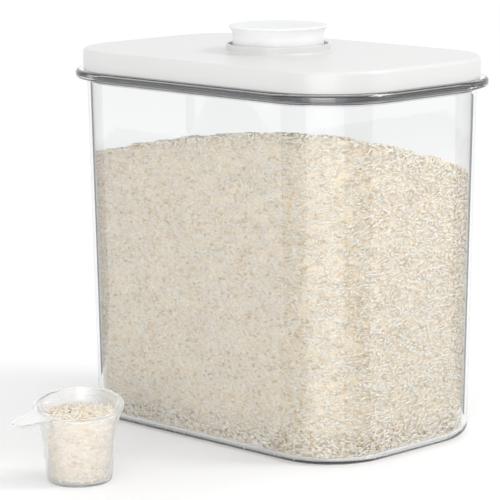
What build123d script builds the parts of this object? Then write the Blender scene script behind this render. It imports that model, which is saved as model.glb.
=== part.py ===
from build123d import *
import os
from math import acos, cos, pi, radians, sin, sqrt, tan

# Airtight rice storage container: a clear moulded box, a white lid with a pop-up
# push button that drives a gasket outwards, and a small scoop-shaped measuring cup.
# Millimetres, +Z up. The origin is the middle of the box's flat base, +X runs along
# the long side, and -Y is the front. The button is modelled popped up.

# Clear box
BODY_LENGTH = 260.0
BODY_DEPTH = 168.0
BODY_HEIGHT = 234.0
CORNER_RADIUS = 52.0
BODY_DRAFT = 1.12
BODY_WALL = 3.0
BODY_FLOOR = 3.5
FOOT_RADIUS = 8.0
RIM_OVERHANG = 7.7
RIM_THICKNESS = 5.8
RIM_EDGE_RADIUS = 2.4
RIM_ROOT_RADIUS = 2.0
MOUTH_EDGE_RADIUS = 0.8

# Lid cover
LID_OVERHANG = 2.5
LID_HEIGHT = 14.0
LID_WALL = 2.2
LID_EDGE_RADIUS = 2.5
SEAT_GAP = 0.1
COLLAR_HEIGHT = 5.4
COLLAR_WALL = 1.6
COLLAR_ROOT_RADIUS = 1.4
COLLAR_EDGE_RADIUS = 0.5
WELL_DEPTH = 5.0

# Lid tray, which carries the gasket, the pushers and the drum under the button
PLUG_GAP = 1.2
GROOVE_DEPTH = 3.6
TRAY_WALL = 2.2
TRAY_FLOOR = 1.8
TRAY_FLANGE = 2.2
TRAY_SNAP_GAP = 0.2
DRUM_ROOM = 4.1
DRUM_DEPTH = 7.5
DRUM_FLOOR = 2.6
DRUM_EDGE_RADIUS = 2.5
PLATE_THICKNESS = 1.6
PLATE_GAP = 0.1
PLATE_EDGE_RADIUS = 0.9
PLATE_HOLE_GAP = 0.25

# Gasket
GASKET_BAND = 1.8
GASKET_LIP_HEIGHT = 1.8
GASKET_LIP_ROUND = 0.7
GASKET_LIP_SHARES = (0.25, 0.75)
GASKET_WALL_GAP = 0.5
GASKET_FIT = 0.1

# Push button
BUTTON_RADIUS = 30.5
BUTTON_LIP_RADIUS = 33.0
BUTTON_LIP_ROUND = 0.9
BUTTON_TRAVEL = 12.1
BUTTON_BOTTOM_GAP = 0.8
BUTTON_WALL = 2.2
BUTTON_FLARE_HEIGHT = 7.0
BUTTON_DISH = 2.0
BUTTON_DISH_RIM = 2.6
BUTTON_CLEARANCE = 0.4
BUTTON_BOSS_HEIGHT = 6.0
BUTTON_BOSS_RADIUS = 3.6
BUTTON_BOSS_CIRCLE = 20.0

# Plunger under the button, and the post that guides it
DISC_RADIUS = 26.0
DISC_THICKNESS = 2.5
STEM_RADIUS = 12.0
POST_RADIUS = 8.92
POST_FIT = 0.08
POST_BORE_RADIUS = 6.5
STEM_SPARE = 0.8
POST_SPARE = 0.5
WING_LIFT = 0.2
WING_RADIUS = 17.0
WING_WIDTH = 10.0
RAMP = 0.125
RAMP_GAP = 0.15

# Seal pushers
PUSHER_HEIGHT = 5.0
PUSHER_WIDTH = 14.0
PUSHER_SIDE_GAP = 0.25
SLIDE_GAP = 0.15
WINDOW_GAP = 0.3
LUG_ENGAGEMENT = 3.4
LUG_THICKNESS = 5.5
LUG_DROP = 3.5
PAD_THICKNESS = 2.6
PAD_END_GAP = 4.0
PAD_STOP = 0.2
GUSSET_SHARE = 0.75
GUSSET_SPREAD = 18.0
RIB_THICKNESS = 1.6
RIB_MARGIN = 1.0

# Ring that keeps the pushers down
RETAINER_MARGIN = 4.0
RETAINER_WIDTH = 14.0
RETAINER_THICKNESS = 1.6
RETAINER_POST_RADIUS = 3.5
RETAINER_SCREWS = 4
RETAINER_SCREW_ANGLE = 45

# Latch: a steel wire pin that follows a heart-shaped track in the plunger
LATCH_ANGLE = 45.0
CAM_FACE_RADIUS = 25.0
CAM_THICKNESS = 4.0
CAM_WIDTH = 13.0
TRACK_DEPTH = 2.0
TRACK_HALF_WIDTH = 5.0
PIN_RADIUS = 0.7
PIN_LENGTH = 12.1
PIN_BEND_RADIUS = 1.4
PIN_PIVOT_HEIGHT = 2.6
PIN_FACE_GAP = 0.5
PIN_TIP_GAP = 0.3
PIN_SWING = 2.2
PIN_PIVOT_FIT = 0.05
LANE_GAP = 0.45
HEART_TIP = (1.3, 3.0)
HEART_LEFT_LOBE = (-0.35, 10.2)
HEART_NOTCH = (1.0, 8.8)
HEART_RIGHT_LOBE = (2.4, 9.8)
TRACK_SHOULDER = 4.5
KEEPER_WIDTH = 9.0
KEEPER_THICKNESS = 3.7
KEEPER_SIDE_GAP = 0.2
KEEPER_ROOF = 3.0
KEEPER_FOOT_WIDTH = 24.0
KEEPER_FOOT_HEIGHT = 1.8

# Return spring
SPRING_WIRE_RADIUS = 0.55
SPRING_COIL_RADIUS = 4.9
SPRING_TURNS = 8
SPRING_END_GAP = 0.05

# Screws
SCREW_RADIUS = 1.2
SCREW_FIT = 0.08
SCREW_HEAD_RADIUS = 2.5
SCREW_HEAD_HEIGHT = 1.6
SCREW_HEAD_ROUND = 0.4
SMALL_SCREW_RADIUS = 0.9
SMALL_SCREW_HEAD_RADIUS = 1.8
SMALL_SCREW_HEAD_HEIGHT = 1.2
SMALL_SCREW_DEPTH = 1.6
SCREW_TIP_GAP = 0.3
SCREW_SLOT_WIDTH = 0.6
SCREW_SLOT_DEPTH = 0.7
TRAY_SCREW_LENGTH = 12.0
RETAINER_SCREW_LENGTH = 6.0
BUTTON_SCREW_LENGTH = 7.0
COVER_BOSS_RADIUS = 4.0
COVER_BOSS_END_INSET = 35.0
COVER_BOSS_SIDE_INSET = 36.0
COVER_BOSS_GAP = 1.5
COUNTERBORE_PAD = 2.2
COUNTERBORE_GAP = 0.3

# Measuring cup, standing in front of the box, its slanted mouth lower towards the
# viewer and its flat grip tab in the plane of the mouth
CUP_X = 17.4
CUP_Y = -197.4
CUP_BASE_RADIUS = 20.0
CUP_MOUTH_RADIUS = 26.6
CUP_MOUTH_HEIGHT = 49.0
CUP_MOUTH_TILT = 10.7
CUP_LOW_SIDE = -45.0
CUP_WALL = 1.6
CUP_FLOOR = 2.0
CUP_FOOT_RADIUS = 2.5
CUP_RIM_RADIUS = 28.4
CUP_RIM_THICKNESS = 2.0
CUP_RIM_ROUND = 0.6
CUP_BAND_HEIGHT = 5.5
CUP_BAND_STEP = 0.7
CUP_TAB_ANGLE = -52.0
CUP_TAB_REACH = 48.5
CUP_TAB_RADIUS = 7.0
CUP_TAB_ROOT_RADIUS = 15.0
CUP_TAB_ROOT_FILLET = 5.0

# Heights of the box and the lid, from the floor up
HALF_LENGTH = BODY_LENGTH / 2
HALF_DEPTH = BODY_DEPTH / 2
RIM_TOP = BODY_HEIGHT + RIM_THICKNESS
LID_SEAT = RIM_TOP + SEAT_GAP
LID_TOP = RIM_TOP + LID_HEIGHT
COVER_UNDERSIDE = LID_TOP - LID_WALL
COLLAR_TOP = LID_TOP + COLLAR_HEIGHT
HOLE_RADIUS = BUTTON_LIP_RADIUS + BUTTON_CLEARANCE
COLLAR_RADIUS = HOLE_RADIUS + COLLAR_WALL

# Heights inside the lid: the pushers slide just under the level of the tray's flange
PUSHER_TOP = LID_SEAT - WINDOW_GAP
PUSHER_BASE = PUSHER_TOP - PUSHER_HEIGHT
RETAINER_UNDERSIDE = PUSHER_TOP + SLIDE_GAP
FLOOR_TOP = PUSHER_BASE - SLIDE_GAP
FLOOR_UNDERSIDE = FLOOR_TOP - TRAY_FLOOR
PLATE_TOP = FLOOR_UNDERSIDE - PLATE_GAP
PLATE_UNDERSIDE = PLATE_TOP - PLATE_THICKNESS
DRUM_UNDERSIDE = FLOOR_TOP - DRUM_DEPTH
DRUM_TOP = DRUM_UNDERSIDE + DRUM_FLOOR
BOSS_SEAT = FLOOR_TOP + COUNTERBORE_PAD

# Button and plunger heights, popped up: pressed home, the lip is level with the collar
BUTTON_TOP = COLLAR_TOP + BUTTON_TRAVEL
BUTTON_BOTTOM = PUSHER_TOP + BUTTON_TRAVEL + BUTTON_BOTTOM_GAP
BUTTON_CEILING = BUTTON_TOP - BUTTON_DISH - BUTTON_WALL
DISC_TOP = BUTTON_CEILING - BUTTON_BOSS_HEIGHT
DISC_UNDERSIDE = DISC_TOP - DISC_THICKNESS
STEM_BOTTOM = DRUM_TOP + BUTTON_TRAVEL + STEM_SPARE
WING_BOTTOM = STEM_BOTTOM + WING_LIFT
POST_TOP = DISC_UNDERSIDE - BUTTON_TRAVEL - POST_SPARE
LUG_TOP = WING_BOTTOM + LUG_ENGAGEMENT

# Insets of the tray from the box's outline under the rim, and the pushers' travel
PLUG_INSET = BODY_WALL + PLUG_GAP
GROOVE_INSET = PLUG_INSET + GROOVE_DEPTH
PUSHER_TRAVEL = BUTTON_TRAVEL * RAMP
PAD_INSET = GROOVE_INSET + PAD_STOP + PUSHER_TRAVEL

# Latch heights, the pin's place in front of the cam's face, and the keeper's behind it
PIN_PIVOT_Z = DRUM_TOP + PIN_PIVOT_HEIGHT
PIN_TIP_Z = PIN_PIVOT_Z + PIN_LENGTH
PIN_LEG_RADIUS = CAM_FACE_RADIUS + PIN_FACE_GAP + PIN_RADIUS
KEEPER_FACE_RADIUS = PIN_LEG_RADIUS + PIN_BEND_RADIUS + KEEPER_SIDE_GAP
KEEPER_MIDDLE_RADIUS = KEEPER_FACE_RADIUS + KEEPER_THICKNESS / 2
KEEPER_SCREW_OFFSET = (KEEPER_WIDTH + KEEPER_FOOT_WIDTH) / 4
KEEPER_REACH = sqrt((KEEPER_FACE_RADIUS + KEEPER_THICKNESS) ** 2 + (KEEPER_FOOT_WIDTH / 2) ** 2)

# The drum goes round the keeper, and the retainer ring round the drum
DRUM_RADIUS = KEEPER_REACH + DRUM_ROOM + TRAY_WALL
RETAINER_INNER_RADIUS = DRUM_RADIUS + RETAINER_MARGIN
RETAINER_OUTER_RADIUS = RETAINER_INNER_RADIUS + RETAINER_WIDTH

# Where the screws stand: the cover's inner bosses are just clear of the retainer ring
COUNTERBORE_RADIUS = SCREW_HEAD_RADIUS + COUNTERBORE_GAP
BOSS_PAD_RADIUS = COUNTERBORE_RADIUS + TRAY_WALL
COVER_BOSS_Y = HALF_DEPTH - COVER_BOSS_SIDE_INSET
COVER_BOSS_REACH = RETAINER_OUTER_RADIUS + BOSS_PAD_RADIUS + COVER_BOSS_GAP
COVER_BOSS_INNER_X = sqrt(COVER_BOSS_REACH ** 2 - COVER_BOSS_Y ** 2)
COVER_BOSS_PLACES = [
    (side_x * x, side_y * COVER_BOSS_Y)
    for side_x in (-1, 1)
    for side_y in (-1, 1)
    for x in (COVER_BOSS_INNER_X, HALF_LENGTH - COVER_BOSS_END_INSET)
]
RETAINER_SCREW_CIRCLE = (RETAINER_INNER_RADIUS + RETAINER_OUTER_RADIUS) / 2
RETAINER_PLACES = PolarLocations(RETAINER_SCREW_CIRCLE, RETAINER_SCREWS, start_angle=RETAINER_SCREW_ANGLE)
BUTTON_BOSS_ANGLES = (135, 225, 315)

# A pusher faces each side: its turn about Z, how far it reaches, and its pad's length
PUSHERS = {
    "seal_pusher_right": (0, HALF_LENGTH - PAD_INSET, BODY_DEPTH - 2 * (CORNER_RADIUS + PAD_END_GAP)),
    "seal_pusher_back": (90, HALF_DEPTH - PAD_INSET, BODY_LENGTH - 2 * (CORNER_RADIUS + PAD_END_GAP)),
    "seal_pusher_left": (180, HALF_LENGTH - PAD_INSET, BODY_DEPTH - 2 * (CORNER_RADIUS + PAD_END_GAP)),
    "seal_pusher_front": (270, HALF_DEPTH - PAD_INSET, BODY_LENGTH - 2 * (CORNER_RADIUS + PAD_END_GAP)),
}

ON_BASE = (Align.CENTER, Align.CENTER, Align.MIN)
BELOW = (Align.CENTER, Align.CENTER, Align.MAX)
EDGE_TOLERANCE = 0.01


def outline(inset):
    """The box's rounded outline under the rim, moved in by inset (out if negative)."""
    return RectangleRounded(BODY_LENGTH - 2 * inset, BODY_DEPTH - 2 * inset, CORNER_RADIUS - inset)


def slab(inset, low, high):
    """A straight-sided block on that outline, between two heights."""
    return Pos(0, 0, low) * extrude(outline(inset), high - low)


def drum(radius, low, high):
    """An upright cylinder on the lid's axis, between two heights."""
    return Pos(0, 0, low) * Cylinder(radius, high - low, align=ON_BASE)


def top_edges(shape):
    return shape.faces().sort_by(Axis.Z)[-1].edges()


def bottom_edges(shape):
    return shape.faces().sort_by(Axis.Z)[0].edges()


def edges_at(shape, height):
    return shape.edges().filter_by_position(Axis.Z, height - EDGE_TOLERANCE, height + EDGE_TOLERANCE)


def edges_within(shape, height, inset):
    """Edges at a height that lie inside the box's outline at an inset."""
    limit = (Pos(0, 0, height) * outline(inset)).face()
    return [edge for edge in edges_at(shape, height) if limit.is_inside(edge.position_at(0.5))]


def drafted(inset, low):
    """The box's outline drawn down from the rim with the moulding draft."""
    start = Pos(0, 0, BODY_HEIGHT) * outline(inset)
    return extrude(start, BODY_HEIGHT - low, dir=(0, 0, -1), taper=BODY_DRAFT)


def make_container_body():
    outside = drafted(0, 0)
    outside = fillet(bottom_edges(outside), FOOT_RADIUS)
    rim = slab(-RIM_OVERHANG, BODY_HEIGHT, RIM_TOP)
    rim = fillet(top_edges(rim) + bottom_edges(rim), RIM_EDGE_RADIUS)
    body = outside + rim
    body = fillet(edges_within(body, BODY_HEIGHT, -RIM_OVERHANG / 2), RIM_ROOT_RADIUS)
    cavity = drafted(BODY_WALL, BODY_FLOOR)
    cavity = fillet(bottom_edges(cavity), FOOT_RADIUS - BODY_WALL)
    body -= cavity + slab(BODY_WALL, BODY_HEIGHT, RIM_TOP)
    return fillet(edges_within(body, RIM_TOP, BODY_WALL / 2), MOUTH_EDGE_RADIUS)


def make_lid_cover():
    cover = slab(-LID_OVERHANG, LID_SEAT, LID_TOP)
    cover = fillet(top_edges(cover), LID_EDGE_RADIUS)
    cover -= slab(LID_WALL - LID_OVERHANG, LID_SEAT, COVER_UNDERSIDE)
    cover += drum(COLLAR_RADIUS, COVER_UNDERSIDE - WELL_DEPTH, COLLAR_TOP)
    boss = Cylinder(COVER_BOSS_RADIUS, COVER_UNDERSIDE - BOSS_SEAT, align=ON_BASE)
    for x, y in COVER_BOSS_PLACES:
        cover += Pos(x, y, BOSS_SEAT) * boss
    cover -= drum(HOLE_RADIUS, COVER_UNDERSIDE - WELL_DEPTH, COLLAR_TOP)
    pilot = Cylinder(SCREW_RADIUS + SCREW_FIT, TRAY_SCREW_LENGTH, align=ON_BASE)
    for x, y in COVER_BOSS_PLACES:
        cover -= Pos(x, y, BOSS_SEAT) * pilot
    rings = edges_at(cover, LID_TOP).filter_by(GeomType.CIRCLE)
    root = [ring for ring in rings if abs(ring.radius - COLLAR_RADIUS) < EDGE_TOLERANCE]
    cover = fillet(root, COLLAR_ROOT_RADIUS)
    return fillet(top_edges(cover), COLLAR_EDGE_RADIUS)


def gusset_start(reach):
    """Where a pusher's bar begins to widen towards its pad."""
    pad_back = reach - PAD_THICKNESS
    return pad_back - GUSSET_SHARE * (pad_back - DRUM_RADIUS)


def make_lid_tray():
    tray = slab(LID_WALL - LID_OVERHANG + TRAY_SNAP_GAP, LID_SEAT, LID_SEAT + TRAY_FLANGE)
    tray += slab(GROOVE_INSET, FLOOR_UNDERSIDE, LID_SEAT)
    tray -= slab(GROOVE_INSET + TRAY_WALL, FLOOR_TOP, LID_SEAT + TRAY_FLANGE)
    tub = fillet(bottom_edges(drum(DRUM_RADIUS, DRUM_UNDERSIDE, FLOOR_TOP)), DRUM_EDGE_RADIUS)
    tray += tub
    tray -= drum(DRUM_RADIUS - TRAY_WALL, DRUM_TOP, FLOOR_TOP)
    post = drum(POST_RADIUS, DRUM_TOP, POST_TOP) - drum(POST_BORE_RADIUS, DRUM_TOP, POST_TOP)
    tray += post

    # a window in the wall for each pad, and a pair of ribs that guide its bar
    for turn, reach, pad_length in PUSHERS.values():
        window = Box(
            2 * (TRAY_WALL + GROOVE_DEPTH),
            pad_length + 2 * WINDOW_GAP,
            LID_SEAT - FLOOR_TOP,
            align=ON_BASE,
        )
        tray -= Rot(0, 0, turn) * Pos(reach, 0, FLOOR_TOP) * window
        rib_start = DRUM_RADIUS + RIB_MARGIN
        rib_length = gusset_start(reach) - RIB_MARGIN - rib_start
        rib = Box(rib_length, RIB_THICKNESS, RETAINER_UNDERSIDE - FLOOR_TOP, align=ON_BASE)
        rib_y = PUSHER_WIDTH / 2 + PUSHER_SIDE_GAP + RIB_THICKNESS / 2
        for side in (-1, 1):
            tray += Rot(0, 0, turn) * Pos(rib_start + rib_length / 2, side * rib_y, FLOOR_TOP) * rib

    # posts for the retainer's screws
    stand = Cylinder(RETAINER_POST_RADIUS, RETAINER_UNDERSIDE - FLOOR_TOP, align=ON_BASE)
    stand -= Cylinder(SCREW_RADIUS + SCREW_FIT, RETAINER_UNDERSIDE - FLOOR_TOP, align=ON_BASE)
    for place in RETAINER_PLACES:
        tray += Pos(0, 0, FLOOR_TOP) * place * stand

    # pads on the floor where the cover's bosses land, counterbored from below
    for x, y in COVER_BOSS_PLACES:
        tray += Pos(x, y, FLOOR_TOP) * Cylinder(BOSS_PAD_RADIUS, COUNTERBORE_PAD, align=ON_BASE)
        tray -= Pos(x, y, FLOOR_UNDERSIDE) * Cylinder(COUNTERBORE_RADIUS, TRAY_FLOOR, align=ON_BASE)
        tray -= Pos(x, y, FLOOR_TOP) * Cylinder(SCREW_RADIUS + SCREW_FIT, COUNTERBORE_PAD, align=ON_BASE)

    # blind holes for the latch keeper's screws
    hole_depth = SMALL_SCREW_DEPTH + SCREW_TIP_GAP
    pilot = Cylinder(SMALL_SCREW_RADIUS + SCREW_FIT, hole_depth, align=ON_BASE)
    for side in (-1, 1):
        tray -= latch_place(KEEPER_MIDDLE_RADIUS, side * KEEPER_SCREW_OFFSET, DRUM_TOP - hole_depth) * pilot
    return tray


def make_bottom_plate():
    plate = slab(PLUG_INSET, PLATE_UNDERSIDE, PLATE_TOP)
    plate = fillet(bottom_edges(plate), PLATE_EDGE_RADIUS)
    return plate - drum(DRUM_RADIUS + PLATE_HOLE_GAP, PLATE_UNDERSIDE, PLATE_TOP)


def make_lid_gasket():
    low = PLATE_TOP + GASKET_FIT
    high = LID_SEAT - GASKET_FIT
    inner_inset = GROOVE_INSET - GASKET_FIT
    band_inset = inner_inset - GASKET_BAND
    gasket = slab(band_inset, low, high)
    for share in GASKET_LIP_SHARES:
        middle = low + share * (high - low)
        lip_low = middle - GASKET_LIP_HEIGHT / 2
        lip = slab(BODY_WALL + GASKET_WALL_GAP, lip_low, lip_low + GASKET_LIP_HEIGHT)
        gasket += fillet(top_edges(lip) + bottom_edges(lip), GASKET_LIP_ROUND)
    return gasket - slab(inner_inset, low, high)


def make_button_cap():
    flare_start = BUTTON_TOP - BUTTON_FLARE_HEIGHT
    lip_edge = BUTTON_TOP - BUTTON_LIP_ROUND
    inner = BUTTON_RADIUS - BUTTON_WALL
    skirt = (BUTTON_RADIUS, flare_start)
    lip_side = (BUTTON_LIP_RADIUS, lip_edge)
    lip_top = (BUTTON_LIP_RADIUS - BUTTON_LIP_ROUND, BUTTON_TOP)
    dish_rim = (BUTTON_LIP_RADIUS - BUTTON_DISH_RIM, BUTTON_TOP)
    dish_middle = (0, BUTTON_TOP - BUTTON_DISH)
    profile = make_face([
        Line((BUTTON_RADIUS, BUTTON_BOTTOM), skirt),
        TangentArc(skirt, lip_side, tangent=(0, 1)),
        RadiusArc(lip_side, lip_top, -BUTTON_LIP_ROUND),
        Line(lip_top, dish_rim),
        TangentArc(dish_middle, dish_rim, tangent=(1, 0)),
        Line(dish_middle, (0, BUTTON_CEILING)),
        Line((0, BUTTON_CEILING), (inner, BUTTON_CEILING)),
        Line((inner, BUTTON_CEILING), (inner, BUTTON_BOTTOM)),
        Line((inner, BUTTON_BOTTOM), (BUTTON_RADIUS, BUTTON_BOTTOM)),
    ])
    cap = revolve(Plane.XZ * profile, Axis.Z)
    boss = Cylinder(BUTTON_BOSS_RADIUS, BUTTON_BOSS_HEIGHT, align=ON_BASE)
    boss -= Cylinder(SCREW_RADIUS + SCREW_FIT, BUTTON_BOSS_HEIGHT, align=ON_BASE)
    for angle in BUTTON_BOSS_ANGLES:
        cap += Rot(0, 0, angle) * Pos(BUTTON_BOSS_CIRCLE, 0, DISC_TOP) * boss
    return cap


def ramp_radius(height):
    """Radius of the plunger's ramps at a height, with the button popped up."""
    return WING_RADIUS + (height - WING_BOTTOM) * RAMP


def latch_place(radius, offset, height):
    """A place in the latch's own frame: out along its spoke, across it, and up."""
    return Rot(0, 0, LATCH_ANGLE) * Pos(radius, offset, height)


def track_point(offset, rise):
    return (offset, PIN_TIP_Z + rise)


def make_heart_track():
    """The pin's looped track: up the left lane, over the heart's notch, down the right."""
    lane = PIN_RADIUS + LANE_GAP
    top = BUTTON_TRAVEL + lane
    left = PIN_SWING + lane
    loop = Polygon(
        track_point(-lane, -lane),
        track_point(lane, -lane),
        track_point(TRACK_HALF_WIDTH, TRACK_SHOULDER),
        track_point(TRACK_HALF_WIDTH, top),
        track_point(-left, top),
        track_point(-left, top - 2 * lane),
        align=None,
    )
    heart = Polygon(
        track_point(*HEART_TIP),
        track_point(*HEART_RIGHT_LOBE),
        track_point(*HEART_NOTCH),
        track_point(*HEART_LEFT_LOBE),
        align=None,
    )
    face = Plane.YZ.offset(CAM_FACE_RADIUS) * (loop - heart)
    return extrude(face, -TRACK_DEPTH)


def make_plunger():
    plunger = drum(DISC_RADIUS, DISC_UNDERSIDE, DISC_TOP)
    plunger += drum(STEM_RADIUS, STEM_BOTTOM, DISC_UNDERSIDE)
    wing = Polygon(
        (POST_RADIUS + POST_FIT, WING_BOTTOM),
        (ramp_radius(WING_BOTTOM), WING_BOTTOM),
        (ramp_radius(DISC_UNDERSIDE), DISC_UNDERSIDE),
        (POST_RADIUS + POST_FIT, DISC_UNDERSIDE),
        align=None,
    )
    wing = extrude(Plane.XZ * wing, WING_WIDTH / 2, both=True)
    for turn, reach, pad_length in PUSHERS.values():
        plunger += Rot(0, 0, turn) * wing
    plunger -= drum(POST_RADIUS + POST_FIT, STEM_BOTTOM, DISC_UNDERSIDE)
    cam_height = DISC_UNDERSIDE - STEM_BOTTOM
    cam = Pos(CAM_FACE_RADIUS - CAM_THICKNESS / 2, 0, STEM_BOTTOM) * Box(
        CAM_THICKNESS, CAM_WIDTH, cam_height, align=ON_BASE
    )
    plunger += Rot(0, 0, LATCH_ANGLE) * (cam - make_heart_track())
    hole = Cylinder(SCREW_RADIUS + SCREW_FIT, DISC_THICKNESS, align=ON_BASE)
    for angle in BUTTON_BOSS_ANGLES:
        plunger -= Rot(0, 0, angle) * Pos(BUTTON_BOSS_CIRCLE, 0, DISC_UNDERSIDE) * hole
    return plunger


def make_seal_pusher(turn, reach, pad_length):
    half_width = PUSHER_WIDTH / 2
    pad_back = reach - PAD_THICKNESS
    bar_start = ramp_radius(PUSHER_BASE) + RAMP_GAP
    bar = Polygon(
        (bar_start, -half_width),
        (gusset_start(reach), -half_width),
        (pad_back, -half_width - GUSSET_SPREAD),
        (pad_back, half_width + GUSSET_SPREAD),
        (gusset_start(reach), half_width),
        (bar_start, half_width),
        align=None,
    )
    pad = Pos(pad_back + PAD_THICKNESS / 2, 0) * Rectangle(PAD_THICKNESS, pad_length)
    pusher = Pos(0, 0, PUSHER_BASE) * extrude(bar + pad, PUSHER_HEIGHT)
    lug_bottom = PUSHER_BASE - LUG_DROP
    lug_back = ramp_radius(LUG_TOP) + RAMP_GAP + LUG_THICKNESS
    lug = Polygon(
        (ramp_radius(lug_bottom) + RAMP_GAP, lug_bottom),
        (lug_back, lug_bottom),
        (lug_back, LUG_TOP),
        (ramp_radius(LUG_TOP) + RAMP_GAP, LUG_TOP),
        align=None,
    )
    lug = extrude(Plane.XZ * lug, half_width, both=True)
    face_cut = Polygon(
        (0, lug_bottom),
        (ramp_radius(lug_bottom) + RAMP_GAP, lug_bottom),
        (ramp_radius(LUG_TOP) + RAMP_GAP, LUG_TOP),
        (0, LUG_TOP),
        align=None,
    )
    pusher += lug
    pusher -= extrude(Plane.XZ * face_cut, half_width, both=True)
    return Rot(0, 0, turn) * pusher


def make_pusher_retainer():
    ring = Cylinder(RETAINER_OUTER_RADIUS, RETAINER_THICKNESS, align=ON_BASE)
    ring -= Cylinder(RETAINER_INNER_RADIUS, RETAINER_THICKNESS, align=ON_BASE)
    hole = Cylinder(SCREW_RADIUS + SCREW_FIT, RETAINER_THICKNESS, align=ON_BASE)
    for place in RETAINER_PLACES:
        ring -= place * hole
    return Pos(0, 0, RETAINER_UNDERSIDE) * ring


def make_latch_pin():
    """A bent wire: tip in the track, upright leg, and foot in the keeper's bore."""
    tip = (CAM_FACE_RADIUS - TRACK_DEPTH + PIN_TIP_GAP, 0, PIN_TIP_Z)
    knee = (PIN_LEG_RADIUS, 0, PIN_TIP_Z)
    ankle = (PIN_LEG_RADIUS, 0, PIN_PIVOT_Z)
    foot = (KEEPER_FACE_RADIUS + KEEPER_THICKNESS, 0, PIN_PIVOT_Z)
    path = FilletPolyline(tip, knee, ankle, foot, radius=PIN_BEND_RADIUS)
    pin = sweep(Plane(tip, z_dir=(1, 0, 0)) * Circle(PIN_RADIUS), path=path)
    return Rot(0, 0, LATCH_ANGLE) * pin


def make_latch_keeper():
    block = Box(KEEPER_THICKNESS, KEEPER_WIDTH, PIN_PIVOT_HEIGHT + KEEPER_ROOF, align=ON_BASE)
    block += Box(KEEPER_THICKNESS, KEEPER_FOOT_WIDTH, KEEPER_FOOT_HEIGHT, align=ON_BASE)
    bore = Rot(0, 90, 0) * Cylinder(PIN_RADIUS + PIN_PIVOT_FIT, KEEPER_THICKNESS)
    hole = Cylinder(SMALL_SCREW_RADIUS + SCREW_FIT, KEEPER_FOOT_HEIGHT, align=ON_BASE)
    block -= Pos(0, 0, PIN_PIVOT_HEIGHT) * bore
    for side in (-1, 1):
        block -= Pos(0, side * KEEPER_SCREW_OFFSET, 0) * hole
    return latch_place(KEEPER_MIDDLE_RADIUS, 0, DRUM_TOP) * block


def make_return_spring():
    """An open coil, each half turn drawn as two tangent arcs."""
    low = DRUM_TOP + SPRING_WIRE_RADIUS + SPRING_END_GAP
    high = DISC_UNDERSIDE - SPRING_WIRE_RADIUS - SPRING_END_GAP
    pitch = (high - low) / SPRING_TURNS
    rise = pitch / (2 * pi)
    speed = sqrt(SPRING_COIL_RADIUS ** 2 + rise ** 2)

    def place(angle):
        return Vector(SPRING_COIL_RADIUS * cos(angle), SPRING_COIL_RADIUS * sin(angle), low + rise * angle)

    def heading(angle):
        return Vector(-SPRING_COIL_RADIUS * sin(angle), SPRING_COIL_RADIUS * cos(angle), rise) / speed

    arcs = []
    for half_turn in range(2 * SPRING_TURNS):
        first, last = half_turn * pi, (half_turn + 1) * pi
        chord = place(last) - place(first)
        both = heading(first) + heading(last)
        square = both.dot(both) - 4
        reach = (chord.dot(both) - sqrt(chord.dot(both) ** 2 - square * chord.dot(chord))) / square
        middle = (place(first) + heading(first) * reach + place(last) - heading(last) * reach) / 2
        across = (place(last) - heading(last) * reach) - (place(first) + heading(first) * reach)
        arcs.append(TangentArc(place(first), middle, tangent=heading(first)))
        arcs.append(TangentArc(middle, place(last), tangent=across))
    print(f"return spring: least gap between turns {pitch - 2 * SPRING_WIRE_RADIUS:.2f} mm")
    return sweep(Plane(place(0), z_dir=heading(0)) * Circle(SPRING_WIRE_RADIUS), path=Wire(arcs))


def make_screw(length, radius=SCREW_RADIUS, head_radius=SCREW_HEAD_RADIUS, head_height=SCREW_HEAD_HEIGHT):
    """A cross-head screw: the head stands on z = 0 and the shank hangs below."""
    head = Cylinder(head_radius, head_height, align=ON_BASE)
    head = fillet(top_edges(head), SCREW_HEAD_ROUND)
    slot = Box(2 * radius, SCREW_SLOT_WIDTH, SCREW_SLOT_DEPTH, align=BELOW)
    for turn in (0, 90):
        head -= Rot(0, 0, turn) * Pos(0, 0, head_height) * slot
    return head + Cylinder(radius, length, align=BELOW)


def make_tray_screws():
    screw = Rot(180, 0, 0) * make_screw(TRAY_SCREW_LENGTH)
    return [Pos(x, y, FLOOR_TOP) * screw for x, y in COVER_BOSS_PLACES]


def make_retainer_screws():
    screw = make_screw(RETAINER_SCREW_LENGTH)
    top = RETAINER_UNDERSIDE + RETAINER_THICKNESS
    return [Pos(0, 0, top) * place * screw for place in RETAINER_PLACES]


def make_button_screws():
    screw = Rot(180, 0, 0) * make_screw(BUTTON_SCREW_LENGTH)
    screw = Pos(BUTTON_BOSS_CIRCLE, 0, DISC_UNDERSIDE) * screw
    return [Rot(0, 0, angle) * screw for angle in BUTTON_BOSS_ANGLES]


def make_keeper_screws():
    screw = make_screw(
        KEEPER_FOOT_HEIGHT + SMALL_SCREW_DEPTH,
        SMALL_SCREW_RADIUS,
        SMALL_SCREW_HEAD_RADIUS,
        SMALL_SCREW_HEAD_HEIGHT,
    )
    top = DRUM_TOP + KEEPER_FOOT_HEIGHT
    offsets = (-KEEPER_SCREW_OFFSET, KEEPER_SCREW_OFFSET)
    return [latch_place(KEEPER_MIDDLE_RADIUS, offset, top) * screw for offset in offsets]


def cup_cone(base_radius, low, high):
    """A cone with the cup's own taper, given its radius at the floor."""
    slope = (CUP_MOUTH_RADIUS - CUP_BASE_RADIUS) / CUP_MOUTH_HEIGHT
    cone = Cone(base_radius + slope * low, base_radius + slope * high, high - low, align=ON_BASE)
    return Pos(0, 0, low) * cone


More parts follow.
